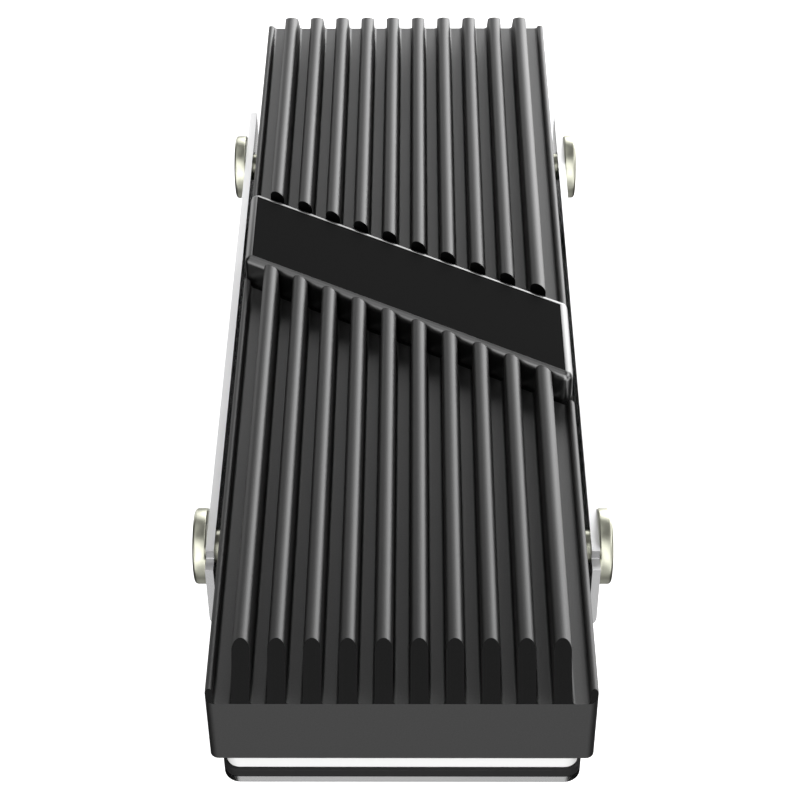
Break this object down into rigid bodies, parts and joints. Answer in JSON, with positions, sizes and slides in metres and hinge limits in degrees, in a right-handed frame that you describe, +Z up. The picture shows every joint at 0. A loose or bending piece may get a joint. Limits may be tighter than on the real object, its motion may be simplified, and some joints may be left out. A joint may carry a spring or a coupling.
{
  "type": "ssd heat sink",
  "caption": "Clamp-on heat sink for a plug-in solid state drive board: black finned block with a slanted bar across the fins, held in a folded sheet tray by side screws.",
  "frame": {"origin": "centre of the tray's underside, on the surface that it rests on", "axes": "+Z up through the fins, +Y along the length towards the rear end, +X across the fins to the right seen from the front end"},
  "size_m": [0.0256, 0.07, 0.0096],
  "materials": {
    "black_anodised": "satin black anodised",
    "bar_anodised": "glossy black anodised",
    "plate_black": "black lacquer",
    "polished_sheet": "polished",
    "dark_pad": "matt silicone",
    "white_pad": "matt silicone",
    "nickel_screw": "nickel plated"
  },
  "bodies": {
    "root": {"fin_block": "black_anodised", "cross_bar": "bar_anodised", "bar_plate": "plate_black", "clamp_tray": "polished_sheet", "lower_pad": "dark_pad", "upper_pad": "white_pad", "side_screws": "nickel_screw"}
  },
  "joints": []
}
